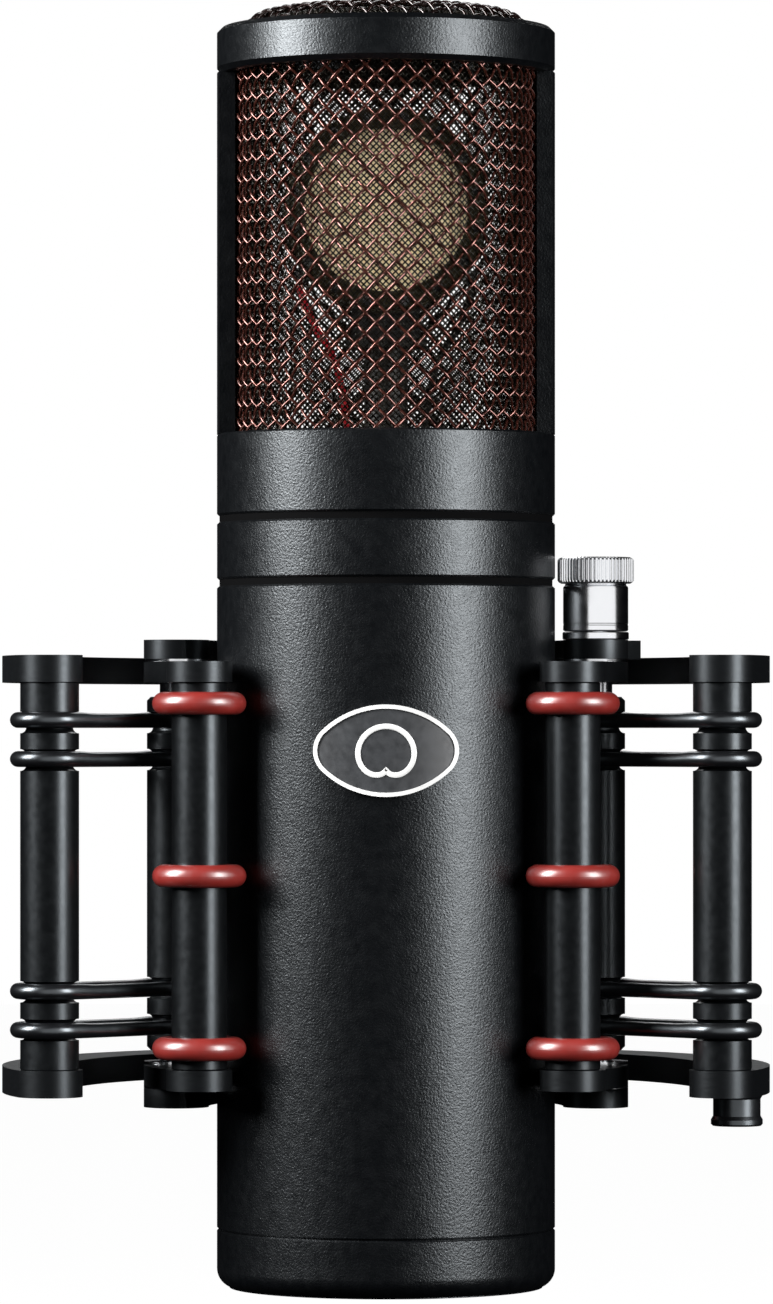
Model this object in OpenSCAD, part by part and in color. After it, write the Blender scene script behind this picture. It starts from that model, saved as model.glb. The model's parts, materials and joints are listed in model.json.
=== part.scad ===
// Side-address condenser microphone held in an elastic shock mount.
// Lengths in millimetres. +Z runs up along the microphone, -Y is the side that faces the
// sound, +X is to the right as seen from that side. The origin is the centre of the stand
// socket's mouth, low down behind the microphone.
//
// Every sub-part is measured from the centre of the microphone's bottom face, and at_mic()
// carries it to the stand socket's frame.

/* [Microphone body] */
// Outer radius of the microphone
mic_r = 27; // [26.8:0.05:27.1]
// Height of the bottom cap
cap_h = 9.3; // [8:0.1:11]
// Radius of the bottom cap's lower edge
cap_round = 3; // [1:0.1:4]
// Top end of the body tube
tube_top = 111.8; // [108:0.1:113]
// Wall of the body tube
tube_wall = 1.8; // [1.5:0.1:2]
// Height of the collar ring's visible band
collar_h = 9.1; // [8:0.1:10]
// Width of the shadow groove on each side of the collar ring
groove_w = 1.1; // [0.8:0.1:1.4]
// Depth of those grooves
groove_d = 0.4; // [0.2:0.1:0.6]

/* [Head basket] */
// Height of the basket's base ring
base_ring_h = 13; // [11:0.1:14]
// Height of the open window
window_h = 57.6; // [56:0.1:60]
// Height of the basket's top ring
top_ring_h = 7.2; // [6:0.1:8]
// Half-width of each side pillar, front to back
pillar_half = 5; // [4:0.1:6]
// Outer radius of the woven mesh
mesh_r = 24.2; // [23.8:0.1:24.3]
// Rise of the domed top mesh above the top ring
dome_rise = 4; // [3:0.1:5]

/* [Capsule] */
// Height of the capsule's centre
capsule_z = 171.7; // [170:0.1:173]
// Outer radius of the capsule's clamping rings
ring_r = 16; // [15:0.1:16.3]
// Radius of the free diaphragm
diaphragm_r = 13; // [11:0.1:13.5]
// Number of screws in each clamping ring
ring_screw_n = 16; // [8:1:16]

/* [Cradle] */
// Height of the shock mount's middle
mid_z = 66; // [64:0.5:68]
// Distance of the hinge pins from the microphone's axis
hinge_x = 33.5; // [33.3:0.1:34]
// Radius of the polished hinge pins
pin_r = 2.65; // [2.5:0.05:2.8]
// Radius of the band sleeves on those pins
sleeve_r = 4.7; // [4.5:0.1:4.8]
// Distance of the grip posts from the microphone's axis
grip_d = 34.6; // [34.6:0.1:35]
// Angle of the grip posts in front of and behind the hinge line
grip_a = 32; // [30:0.5:34]
// Radius of the grip posts
grip_post_r = 4.35; // [4.2:0.05:4.5]
// Spacing of the grip rings up each post
grip_pitch = 27.1; // [26:0.1:27.5]

/* [Outer frame] */
// Centreline radius of the two C-shaped plates
frame_r = 56.05; // [55:0.1:58]
// Half-width of those plates
frame_half_w = 5.2; // [4.8:0.1:5.5]
// Angle of each front post in front of the side
frame_a = 19.5; // [18:0.5:21]
// Radius of the front posts
post_r = 4.63; // [4.5:0.01:4.8]
// Radius of the elastic cord
cord_r = 1.2; // [1:0.05:1.3]

/* [Stand adapter] */
// Distance of the tilt pivot behind the microphone's axis
stand_y = 84; // [82:0.5:90]
// Height of the socket's mouth above the microphone's bottom face
socket_z = 30; // [26:0.5:32]
// Radius of the 5/8 inch stand thread's bore
socket_r = 7.43; // [7.4:0.01:7.5]
// Length of that thread
socket_l = 15; // [12:0.5:16]

/* [Hidden] */
$fn = 96;

edge_c = 0.3;            // chamfer of turned edges
fit = 0.05;              // radial clearance of a sliding or running fit
eps = 0.01;

// heights along the microphone
collar_z = tube_top + groove_w;
collar_top = collar_z + collar_h;
base_z = collar_top + groove_w;
window_z = base_z + base_ring_h;
window_top = window_z + window_h;
top_z = window_top + top_ring_h;
tube_r_in = mic_r - tube_wall;
basket_r_in = mesh_r + 0.3;
spigot_h = 5.7;
spigot_r = tube_r_in - 0.2;
mesh_t = 0.9;            // two coarse wires
liner_t = 0.35;          // two fine wires
mesh_seat = 3;           // how far the mesh reaches into each ring
deck_z = 129.2;
deck_t = 2.8;

// microphone socket and chassis
xlr_r = 8.2;
xlr_wall = 1.2;
xlr_depth = 14;
xlr_pin_r = 1.2;
xlr_pin_circle = 4.95;
carrier_z = cap_h + spigot_h + 0.2;
carrier_t = 3;
rail_x = 17;
rail_w = 6;
rail_d = 10;
rail_z = carrier_z + carrier_t;
board_w = 40;
board_t = 1.6;
board_z = 24;
board_h = 94;
board_y = rail_d / 2;

// capsule, front to back
plate_half = 3.5;
film_t = 0.1;
clamp_t = 1.6;
rim_r = 16.4;
screw_circle = 14.85;
saddle_z = 151.2;

// badge
badge_z = 85.7;
badge_end_x = 7;         // centres of the oval's end arcs
badge_end_r = 4.4;
badge_side_r = 14.55;    // radius of the oval's long arcs
badge_half_h = 7.2;

// levels of the shock mount's plates, above and below its middle
arm_lo = 30.45;
arm_hi = 33.7;
washer_t = 0.5;
cradle_lo = arm_hi + washer_t + 0.05;
cradle_hi = 37.3;
frame_lo = 30.45;
frame_hi = 34.7;
cradle_w = 5;            // half-width of the cradle's C-shaped plates
lug_r = 5.2;
screw_head_r = 2.9;
screw_r = 1.45;

// clamp screw
clamp_z = mid_z + cradle_hi + 0.05;
barrel_top = 112.3;
head_top = 116.5;

// rubber grip rings
grip_ring_major = 5.6;
grip_ring_minor = 1.8;

// elastic bands and the grooves that hold them
band_levels = [18.2, 24.1];
groove_h = 3.4;
groove_fillet = 0.95;
band_loop_r = sleeve_r - groove_fillet + cord_r + fit;

// tilt pivot
pivot_z = mid_z;
ear_r = 9;
ear_in = 5;
ear_out = 10;
tongue_half = 4.2;
bolt_r = 3;
spine_y = 52;
spine_t = 8;
adapter_r = 11;
shoulder_z = 50;

black = [0.09, 0.09, 0.10];
anodised = [0.13, 0.13, 0.14];
steel = [0.75, 0.76, 0.78];
chrome = [0.85, 0.86, 0.88];
copper = [0.45, 0.20, 0.15];
brass = [0.72, 0.60, 0.34];
red = [0.70, 0.22, 0.18];
rubber = [0.05, 0.05, 0.05];

function polar(r, a) = [r * cos(a), r * sin(a)];
hinge_at = [hinge_x, 0];
grip_front = polar(grip_d, -grip_a);
grip_rear = polar(grip_d, grip_a);
frame_end = polar(frame_r, -frame_a);
band_vec = frame_end - hinge_at;
band_len = norm(band_vec);
band_a = atan2(band_vec[1], band_vec[0]);

// ---------------------------------------------------------------- helpers

module at_mic() {
    translate([0, -stand_y, -socket_z]) children();
}

// Copies the children at the same distance above and below the shock mount's middle
module both_levels() {
    translate([0, 0, mid_z]) children();
    translate([0, 0, mid_z]) mirror([0, 0, 1]) children();
}

// Copies the children on the right and, mirrored, on the left
module both_sides() {
    children();
    mirror([1, 0, 0]) children();
}

module ring_section(r_in, r_out, z0, z1, c = edge_c) {
    polygon([
        [r_in, z0], [r_out - c, z0], [r_out, z0 + c],
        [r_out, z1 - c], [r_out - c, z1], [r_in, z1]
    ]);
}

module turned(r_in, r_out, z0, z1, c = edge_c) {
    rotate_extrude() ring_section(r_in, r_out, z0, z1, c);
}

module disc(r, z0, z1) {
    translate([0, 0, z0]) cylinder(r = r, h = z1 - z0);
}

// Countersunk screw standing with its flat head at z = 0 and its shank below
module flat_screw(length) {
    translate([0, 0, -1.6]) cylinder(r1 = screw_r, r2 = screw_head_r, h = 1.6);
    translate([0, 0, -length]) cylinder(r = screw_r, h = length - 1.5);
}

// Hole for the same screw
module screw_hole(depth, play = 0.04) {
    translate([0, 0, -1.6]) cylinder(r1 = screw_r + play, r2 = screw_head_r + play, h = 1.6);
    translate([0, 0, -depth]) cylinder(r = screw_r + play, h = depth - 1.5);
    translate([0, 0, -eps]) cylinder(r = screw_head_r + play, h = 1);
}

// Hexagon drive cut into a head that faces up
module hex_drive(r, depth) {
    translate([0, 0, -depth]) cylinder(r = r, h = depth + 1, $fn = 6);
}

// C-shaped sector of a flat ring, open at the front, with round ends
module c_outline(r, half_w, end_a, end_r) {
    difference() {
        circle(r + half_w);
        circle(r - half_w);
        polygon([
            [0, 0], 3 * r * [cos(end_a), -sin(end_a)], 4 * r * [1, -1],
            4 * r * [-1, -1], 3 * r * [-cos(end_a), -sin(end_a)]
        ]);
    }
    for (s = [-1, 1]) translate([s * r * cos(end_a), -r * sin(end_a)]) circle(end_r);
}

// Round-bottomed groove cut round a post at height z
module band_groove(r, z) {
    translate([0, 0, z]) rotate_extrude() {
        for (s = [-1, 1]) translate([r, s * (groove_h / 2 - groove_fillet)]) circle(groove_fillet);
        translate([r - groove_fillet, -groove_h / 2 + groove_fillet])
            square([3 * groove_fillet, groove_h - 2 * groove_fillet]);
    }
}

module band_grooves(r) {
    both_levels() for (z = band_levels) band_groove(r, z);
}

module grip_ring() {
    rotate_extrude() translate([grip_ring_major, 0]) circle(grip_ring_minor);
}

module grip_rings() {
    for (k = [-1, 0, 1]) translate([0, 0, mid_z + k * grip_pitch]) grip_ring();
}

// Grip post between heights z0 and z1, grooved for its three rings
module grip_post(z0, z1) {
    difference() {
        turned(0, grip_post_r, z0, z1, 0.2);
        for (k = [-1, 0, 1]) translate([0, 0, mid_z + k * grip_pitch])
            rotate_extrude() translate([grip_ring_major, 0]) circle(grip_ring_minor + 0.04);
        translate([0, 0, z0 - eps]) cylinder(r = screw_r + 0.04, h = 9);
        translate([0, 0, z1 + eps - 9]) cylinder(r = screw_r + 0.04, h = 9);
    }
}

// Eight-sided tube along a list of points
function unit(v) = v / norm(v);
function tangent(p, i) = unit(p[min(i + 1, len(p) - 1)] - p[max(i - 1, 0)]);
function side(t) = unit(cross(t, [0.31, 0.95, 0.05]));
function tube_ring(p, i, r) =
    let (t = tangent(p, i), u = side(t), v = cross(t, u))
    [for (a = [0 : 45 : 315]) p[i] + r * (cos(a) * u + sin(a) * v)];

module tube_along(p, r) {
    n = len(p);
    polyhedron(
        points = [for (i = [0 : n - 1]) each tube_ring(p, i, r)],
        faces = concat(
            [[for (k = [7 : -1 : 0]) k]],
            [[for (k = [0 : 7]) (n - 1) * 8 + k]],
            [for (i = [0 : n - 2]) for (k = [0 : 7])
                [i * 8 + k, i * 8 + (k + 1) % 8, (i + 1) * 8 + (k + 1) % 8, (i + 1) * 8 + k]]
        )
    );
}

// ---------------------------------------------------------------- microphone shell

module bottom_cap() {
    color(black) at_mic() rotate_extrude() difference() {
        union() {
            translate([mic_r - cap_round, cap_round]) circle(cap_round);
            square([mic_r - cap_round, cap_round]);
            translate([0, cap_round]) square([mic_r, cap_h - cap_round - edge_c]);
            translate([0, cap_h - edge_c - eps])
                polygon([[0, 0], [mic_r, 0], [mic_r - edge_c, edge_c + eps], [0, edge_c + eps]]);
            square([spigot_r, cap_h + spigot_h]);
        }
        translate([-1, -1]) square([xlr_r + xlr_wall + fit + 1, 60]);
        translate([0, 4]) square([spigot_r - 1.7, 60]);
    }
}

module body_tube() {
    color(black) at_mic() turned(tube_r_in, mic_r, cap_h + 0.05, tube_top);
}

module collar_ring() {
    color(black) at_mic() {
        turned(22.6, mic_r, collar_z, collar_top);
        turned(22.6, spigot_r, tube_top - spigot_h, tube_top, 0.2);
        disc_ring(22.6, mic_r - groove_d, tube_top, collar_z);
        disc_ring(22.6, mic_r - groove_d, collar_top, base_z);
        turned(22.6, basket_r_in - 0.2, base_z, deck_z - 0.1, 0.2);
    }
}

module disc_ring(r_in, r_out, z0, z1) {
    translate([0, 0, z0]) difference() {
        cylinder(r = r_out, h = z1 - z0);
        translate([0, 0, -1]) cylinder(r = r_in, h = z1 - z0 + 2);
    }
}

// Base ring, two side pillars with flat front and back faces, and top ring in one casting
module head_frame() {
    color(black) at_mic() {
        turned(basket_r_in, mic_r, base_z, window_z);
        turned(basket_r_in, mic_r, window_top, top_z, 0.8);
        intersection() {
            disc_ring(basket_r_in, mic_r, window_z, window_top);
            translate([-40, -pillar_half, window_z]) cube([80, 2 * pillar_half, window_h]);
        }
    }
}

// The woven meshes as plain skins
module outer_mesh() {
    color(copper) at_mic()
        disc_ring(mesh_r - mesh_t, mesh_r, window_z - mesh_seat, window_top + mesh_seat);
}

module inner_mesh() {
    color(anodised) at_mic()
        disc_ring(mesh_r - mesh_t - liner_t - 0.15, mesh_r - mesh_t - 0.15,
                  window_z - mesh_seat, window_top + mesh_seat);
}

// Shallow dome: a slice of a spherical shell that rises above the top ring
module dome(r, t, rise, z) {
    sphere_r = (r * r + rise * rise) / (2 * rise);
    translate([0, 0, z + rise - sphere_r]) rotate_extrude() intersection() {
        difference() {
            circle(sphere_r, $fn = 240);
            circle(sphere_r - t, $fn = 240);
        }
        translate([0, sphere_r - rise - 1]) square([r - 0.1, rise + 2]);
    }
}

module top_mesh() {
    color(copper) at_mic() dome(mesh_r, mesh_t, dome_rise + 1.5, top_z - 1.5);
}

module top_liner() {
    color(anodised) at_mic() dome(mesh_r - 1, liner_t, dome_rise + 1.2, top_z - 1.5 - mesh_t);
}

// Four-arc oval, drawn in its own plane
module oval(inset) {
    big = badge_side_r - inset;
    drop = badge_side_r - badge_half_h;
    span = badge_side_r * badge_end_x / (badge_side_r - badge_end_r);
    intersection() {
        translate([0, -drop]) circle(big);
        translate([0, drop]) circle(big);
        square([2 * span, 40], center = true);
    }
    for (s = [-1, 1]) translate([s * badge_end_x, 0]) circle(badge_end_r - inset);
}

// A slice of the oval wrapped round the body between two radii
module wrapped_oval(r0, r1, outer_inset, inner_inset) {
    intersection() {
        disc_ring(r0, r1, badge_z - 20, badge_z + 20);
        translate([0, 0, badge_z]) rotate([90, 0, 0]) linear_extrude(40) difference() {
            oval(outer_inset);
            if (inner_inset > 0) oval(inner_inset);
        }
    }
}

module badge_rim() {
    color("white") at_mic() wrapped_oval(mic_r + 0.02, mic_r + 0.75, 0, 0.65);
}

module badge_face() {
    color("dimgray") at_mic() wrapped_oval(mic_r + 0.02, mic_r + 0.5, 0.68, 0);
}

// ---------------------------------------------------------------- capsule

// Local +Z becomes the capsule's front
module at_capsule() {
    translate([0, 0, capsule_z]) rotate([90, 0, 0]) children();
}

module both_faces() {
    children();
    mirror([0, 0, 1]) children();
}

module capsule_backplate() {
    color(brass) at_mic() at_capsule() {
        cylinder(r = rim_r, h = 2 * plate_half - 1, center = true);
        both_faces() disc_ring(diaphragm_r + 0.2, ring_r, plate_half - 0.5, plate_half);
    }
}

module diaphragms() {
    color([0.93, 0.87, 0.68]) at_mic() at_capsule()
        both_faces() disc(ring_r, plate_half, plate_half + film_t);
}

module ring_screw_places() {
    for (k = [0 : ring_screw_n - 1])
        rotate([0, 0, (k + 0.5) * 360 / ring_screw_n]) translate([screw_circle, 0, 0]) children();
}

module clamping_rings() {
    z0 = plate_half + film_t;
    color([0.42, 0.40, 0.24]) at_mic() at_capsule() both_faces() difference() {
        turned(diaphragm_r, ring_r, z0, z0 + clamp_t, 0.2);
        ring_screw_places() disc(0.5, z0 + 0.1, z0 + clamp_t + 1);
    }
}

module ring_screws() {
    z1 = plate_half + film_t + clamp_t;
    color(steel) at_mic() at_capsule() both_faces() ring_screw_places() {
        disc(0.48, z1 - 1.4, z1 + 0.1);
        disc(0.8, z1, z1 + 0.5);
    }
}

// One solder lug on the rim for each side of the capsule
module solder_lugs() {
    color(steel) at_mic() for (s = [0, 1]) rotate([0, 0, 180 * s]) at_capsule()
        rotate([0, 0, 218]) translate([rim_r + 0.05, -1.2, 1.6]) cube([1.6, 2.4, 1.6]);
}

module capsule_saddle() {
    color(black) at_mic() difference() {
        translate([-5.5, -2.6, saddle_z]) cube([11, 5.2, 6]);
        at_capsule() cylinder(r = rim_r + 0.02, h = 20, center = true);
    }
}

module capsule_post() {
    color(steel) at_mic() {
        translate([-6.4, -6, saddle_z - 1.3]) cube([12.8, 12, 1.3]);
        disc(3.5, deck_z + deck_t, saddle_z - 1.3);
    }
}

// Lead from the front lug down through the deck
lead_path = [
    [-13.9, -2.6, 160.6], [-13.6, -4.2, 158.8], [-12.6, -5, 156], [-11, -5.3, 152.5],
    [-9, -5.6, 149.5], [-7.8, -4.6, 146.5], [-7, -2.6, 143], [-6.4, -1, 139],
    [-6, -0.3, 135], [-6, 0, 131], [-6, 0, 127]
];

module red_lead() {
    color("crimson") at_mic() tube_along(lead_path, 0.6);
}

module black_lead() {
    color(black) at_mic() rotate([0, 0, 180]) tube_along(lead_path, 0.6);
}

module top_deck() {
    color("ivory") at_mic() difference() {
        disc(basket_r_in - 0.1, deck_z, deck_z + deck_t);
        for (s = [-1, 1]) translate([6 * s, 0, deck_z - 1]) cylinder(r = 0.9, h = deck_t + 2);
    }
}

// ---------------------------------------------------------------- chassis and electronics

module chassis_rails() {
    color(steel) at_mic() both_sides() difference() {
        translate([rail_x - rail_w / 2, -rail_d / 2, rail_z])
            cube([rail_w, rail_d, deck_z - rail_z]);
        board_screw_places() translate([0, 0, -4.2]) cylinder(r = 1.24, h = 6);
    }
}

// Right-hand screw places on both boards: local +Z points away from the rail
module board_screw_places() {
    for (s = [-1, 1]) for (z = [board_z + 8, board_z + board_h - 8])
        translate([rail_x, s * (board_y + board_t), z]) rotate([-90 * s, 0, 0]) children();
}

module board() {
    difference() {
        translate([-board_w / 2, -board_y - board_t, board_z]) cube([board_w, board_t, board_h]);
        both_sides() board_screw_places() translate([0, 0, -4]) cylinder(r = 1.24, h = 8);
    }
}

module front_board() {
    color("darkgreen") at_mic() board();
}

module rear_board() {
    color("darkgreen") at_mic() rotate([0, 0, 180]) board();
}

module chassis_screws() {
    color(steel) at_mic() both_sides() board_screw_places() {
        cylinder(r = 2.2, h = 1.4);
        translate([0, 0, -4]) cylinder(r = 1.2, h = 4.5);
    }
}

// Capacitors and transistor cans on the front board, transformer on the rear one
module board_parts() {
    face = board_y + board_t;
    color("darkslateblue") at_mic() {
        for (k = [0 : 3]) translate([-8 + 6 * (k % 2), -face, 40 + 19 * k])
            rotate([90, 0, 0]) cylinder(r = 3.5, h = 9);
        for (k = [0 : 2]) translate([6, -face, 48 + 20 * k])
            rotate([90, 0, 0]) cylinder(r = 2.4, h = 5);
        translate([-9, face, 36]) cube([18, 11, 26]);
        for (k = [0 : 2]) translate([-7 + 7 * k, face, 92]) rotate([-90, 0, 0])
            cylinder(r = 2.6, h = 7);
    }
}

module xlr_carrier() {
    color(steel) at_mic() difference() {
        union() {
            disc(xlr_r + xlr_wall, 0.4, carrier_z + 0.5);
            disc(tube_r_in - 0.4, carrier_z, carrier_z + carrier_t);
        }
        disc(xlr_r, -1, carrier_z + carrier_t + 1);
    }
}

module xlr_insert() {
    color(black) at_mic() difference() {
        disc(xlr_r - 0.03, xlr_depth, xlr_depth + 5);
        xlr_pin_places() disc(xlr_pin_r + 0.02, 0, 40);
    }
}

// Three pins: two level ones and one below, as seen into the socket
module xlr_pin_places() {
    for (a = [20, 160, 270]) translate(polar(xlr_pin_circle, a)) children();
}

module xlr_pins() {
    color(steel) at_mic() xlr_pin_places() {
        disc(xlr_pin_r, 2.6, xlr_depth + 8);
        translate([0, 0, 2.6]) sphere(xlr_pin_r);
    }
}

// ---------------------------------------------------------------- cradle

module cradle_plate_outline() {
    c_outline(hinge_x, cradle_w, 0, lug_r);
    for (s = [-1, 1]) translate([s * grip_rear[0], grip_rear[1]]) circle(lug_r);
}

module cradle_screw_places(right_hinge) {
    for (s = [-1, 1]) translate([s * grip_rear[0], grip_rear[1], cradle_hi]) children();
    translate([-hinge_x, 0, cradle_hi]) children();
    if (right_hinge) translate([hinge_x, 0, cradle_hi]) children();
}

// Upper plate: the clamp screw passes the right lug, and an ear stands out beside it
module cradle_top_plate() {
    color(anodised) at_mic() translate([0, 0, mid_z]) difference() {
        translate([0, 0, cradle_lo]) linear_extrude(cradle_hi - cradle_lo) {
            cradle_plate_outline();
            translate([hinge_x, 8.2]) square([7.5, 4.4]);
        }
        cradle_screw_places(false) screw_hole(8);
        translate([hinge_x, 0, 0]) cylinder(r = 2.1, h = 60);
    }
}

module cradle_bottom_plate() {
    color(anodised) at_mic() translate([0, 0, mid_z]) mirror([0, 0, 1]) difference() {
        translate([0, 0, cradle_lo]) linear_extrude(cradle_hi - cradle_lo) cradle_plate_outline();
        cradle_screw_places(true) screw_hole(8);
    }
}

module hinge_pin() {
    difference() {
        turned(0, pin_r, mid_z - cradle_lo, mid_z + cradle_lo, 0.15);
        translate([0, 0, mid_z - cradle_hi - 1]) cylinder(r = screw_r + 0.04, h = 9);
        translate([0, 0, mid_z + cradle_lo - 14]) children();
    }
}

module left_hinge_pin() {
    color(chrome) at_mic() translate([-hinge_x, 0, 0])
        hinge_pin() translate([0, 0, 7]) cylinder(r = screw_r + 0.04, h = 10);
}

module right_hinge_pin() {
    color(chrome) at_mic() translate([hinge_x, 0, 0])
        hinge_pin() cylinder(r = 2.0, h = 20);
}

// Sleeves that carry the bands' inner ends
module band_sleeves() {
    color(anodised) at_mic() both_sides() translate([hinge_x, 0, 0]) difference() {
        turned(pin_r + 0.02, sleeve_r, mid_z - 28.2, mid_z + 28.2, 0.6);
        band_grooves(sleeve_r);
    }
}

// Thrust washers above and below each upper arm lug and under each lower one
module hinge_washers() {
    color(chrome) at_mic() both_sides() translate([hinge_x, 0, mid_z]) {
        disc_ring(pin_r + 0.03, lug_r, arm_hi + 0.02, arm_hi + 0.02 + washer_t);
        disc_ring(pin_r + 0.03, lug_r, -arm_hi - 0.02 - washer_t, -arm_hi - 0.02);
        disc_ring(pin_r + 0.03, lug_r, -arm_lo + 0.02, -arm_lo + 0.02 + washer_t);
    }
}

module rear_grip_posts() {
    color(anodised) at_mic() both_sides() translate(grip_rear)
        grip_post(mid_z - cradle_lo, mid_z + cradle_lo);
}

module rear_grip_rings() {
    color(red) at_mic() both_sides() translate(grip_rear) grip_rings();
}

module cradle_screws() {
    color(steel) at_mic() {
        translate([0, 0, mid_z]) cradle_screw_places(false) flat_screw(8);
        translate([0, 0, mid_z]) mirror([0, 0, 1]) cradle_screw_places(true) flat_screw(8);
        both_levels() mirror([1, 0, 0]) arm_screw_place() flat_screw(8);
    }
}

// ---------------------------------------------------------------- grip arms

module arm_outline() {
    difference() {
        union() {
            difference() {
                circle(hinge_x + cradle_w);
                circle(hinge_x - cradle_w + 0.6);
                polygon([[0, 0], 80 * [cos(grip_a), -sin(grip_a)], [80, -200], [-200, -200],
                         [-200, 200], [80, 200], [80, 0]]);
            }
            translate(hinge_at) circle(lug_r);
            translate(grip_front) circle(lug_r);
        }
        circle(mic_r + 1.2);
    }
}

module arm_screw_place() {
    translate([grip_front[0], grip_front[1], arm_hi]) children();
}

// Upper and lower leaves of one arm; play is the clearance round the hinge pin
module arm_plates(play) {
    both_levels() difference() {
        translate([0, 0, arm_lo]) linear_extrude(arm_hi - arm_lo) arm_outline();
        translate([hinge_x, 0, 0]) cylinder(r = pin_r + play, h = 60);
        arm_screw_place() screw_hole(8);
    }
}

module left_arm_plates() {
    color(anodised) at_mic() mirror([1, 0, 0]) arm_plates(0.03);
}

module right_arm_plates() {
    color(anodised) at_mic() arm_plates(0.06);
}

module front_grip_post() {
    translate(grip_front) grip_post(mid_z - arm_lo, mid_z + arm_lo);
}

module left_grip_post() {
    color(anodised) at_mic() mirror([1, 0, 0]) front_grip_post();
}

module right_grip_post() {
    color(anodised) at_mic() front_grip_post();
}

module left_grip_rings() {
    color(red) at_mic() mirror([1, 0, 0]) translate(grip_front) grip_rings();
}

module right_grip_rings() {
    color(red) at_mic() translate(grip_front) grip_rings();
}

module right_arm_screws() {
    color(steel) at_mic() both_levels() arm_screw_place() flat_screw(8);
}

// ---------------------------------------------------------------- clamp screw

module clamp_washer() {
    color(chrome) at_mic() translate([hinge_x, 0, 0])
        turned(2.05, 5.3, clamp_z, clamp_z + 1.2, 0.15);
}

// Barrel, straight-knurled head and threaded stem
module clamp_screw() {
    teeth = 58;
    color(chrome) at_mic() translate([hinge_x, 0, 0]) {
        turned(0, 5.2, clamp_z + 1.3, barrel_top, 0.2);
        translate([0, 0, barrel_top - eps]) linear_extrude(head_top - barrel_top) polygon([
            for (k = [0 : 2 * teeth - 1]) polar(6.1 - 0.25 * (k % 2), k * 180 / teeth)
        ]);
        disc(1.9, clamp_z - 14, barrel_top);
    }
}

// ---------------------------------------------------------------- outer frame

module frame_screw_places() {
    for (s = [-1, 1]) {
        translate([s * frame_end[0], frame_end[1], frame_hi]) children();
        translate([s * 6, spine_y + spine_t / 2, frame_hi]) children();
    }
}

module frame_plate() {
    difference() {
        translate([0, 0, frame_lo]) linear_extrude(frame_hi - frame_lo)
            c_outline(frame_r, frame_half_w, frame_a, frame_half_w);
        frame_screw_places() screw_hole(10);
    }
}

module frame_top_plate() {
    color(anodised) at_mic() translate([0, 0, mid_z]) frame_plate();
}

module frame_bottom_plate() {
    color(anodised) at_mic() difference() {
        translate([0, 0, mid_z]) mirror([0, 0, 1]) frame_plate();
        guide_place() disc(1.53, -1, 3);
    }
}

module frame_posts() {
    color(anodised) at_mic() both_sides() translate(frame_end) difference() {
        turned(0, post_r, mid_z - frame_lo, mid_z + frame_lo, 0.15);
        band_grooves(post_r);
        both_levels() disc(screw_r + 0.04, frame_lo - 7, frame_lo + 1);
    }
}

// Spine between the plates with two ears for the tilt bolt
module rear_bracket() {
    color(anodised) at_mic() difference() {
        union() {
            translate([-ear_out, spine_y, mid_z - frame_lo]) cube([2 * ear_out, spine_t, 2 * frame_lo]);
            both_sides() {
                translate([ear_in, spine_y + spine_t - eps, pivot_z - ear_r])
                    cube([ear_out - ear_in, stand_y - spine_y - spine_t + eps, 2 * ear_r]);
                at_pivot() disc(ear_r, ear_in, ear_out);
            }
        }
        at_pivot() disc(bolt_r + 0.03, -40, 40);
        translate([0, 0, mid_z]) frame_screw_places() screw_hole(10);
        translate([0, 0, mid_z]) mirror([0, 0, 1]) frame_screw_places() screw_hole(10);
    }
}

// Local +Z becomes +X, with the origin on the tilt axis
module at_pivot() {
    translate([0, stand_y, pivot_z]) rotate([0, 90, 0]) children();
}

module frame_screws() {
    color(steel) at_mic() both_levels() frame_screw_places() flat_screw(10);
}

module guide_place() {
    translate([frame_r, 0, mid_z - frame_hi]) children();
}

// Waisted bobbin under the lower plate, with its stud in the plate
module cable_guide() {
    guide_r = 4.15;
    waist = 0.35;
    color(rubber) at_mic() guide_place() {
        rotate_extrude() polygon([
            [0, 0], [guide_r, 0], [guide_r, -0.7], [guide_r - waist, -1.3],
            [guide_r - waist, -4], [guide_r, -4.6], [guide_r, -5.3], [guide_r - 0.3, -5.6], [0, -5.6]
        ]);
        disc(1.5, -1, 2.9);
    }
}

// Closed loop of elastic cord round a frame post and a sleeve
module band() {
    translate([hinge_x, 0, 0]) rotate([0, 0, band_a]) {
        for (s = [0, 1]) translate([s * band_len, 0, 0]) rotate([0, 0, 90 - 180 * s])
            rotate_extrude(angle = 180) translate([band_loop_r, 0]) circle(cord_r, $fn = 32);
        for (s = [-1, 1]) translate([0, s * band_loop_r, 0])
            rotate([0, 90, 0]) cylinder(r = cord_r, h = band_len, $fn = 32);
    }
}

module four_bands() {
    both_levels() for (z = band_levels) translate([0, 0, z]) band();
}

module left_bands() {
    color(rubber) at_mic() mirror([1, 0, 0]) four_bands();
}

module right_bands() {
    color(rubber) at_mic() four_bands();
}

// ---------------------------------------------------------------- tilt joint and stand adapter

module tilt_bolt() {
    color(steel) at_mic() at_pivot() {
        disc(bolt_r, -ear_out - 1, 18);
        difference() {
            disc(5.5, -ear_out - 4.6, -ear_out - 0.05);
            translate([0, 0, -ear_out - 4.6]) mirror([0, 0, 1]) hex_drive(2.9, 2.6);
        }
    }
}

// Lobed knob on the bolt's right end
module tilt_knob() {
    lobes = 7;
    knob_r = 10.5;
    color(black) at_mic() at_pivot() difference() {
        union() {
            disc(6.5, ear_out + 0.2, 14);
            translate([0, 0, 13.9]) linear_extrude(10) difference() {
                circle(knob_r);
                for (k = [0 : lobes - 1]) translate(polar(knob_r + 2.2, k * 360 / lobes)) circle(3.6);
            }
        }
        disc(bolt_r + fit, 0, 19);
    }
}

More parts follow.
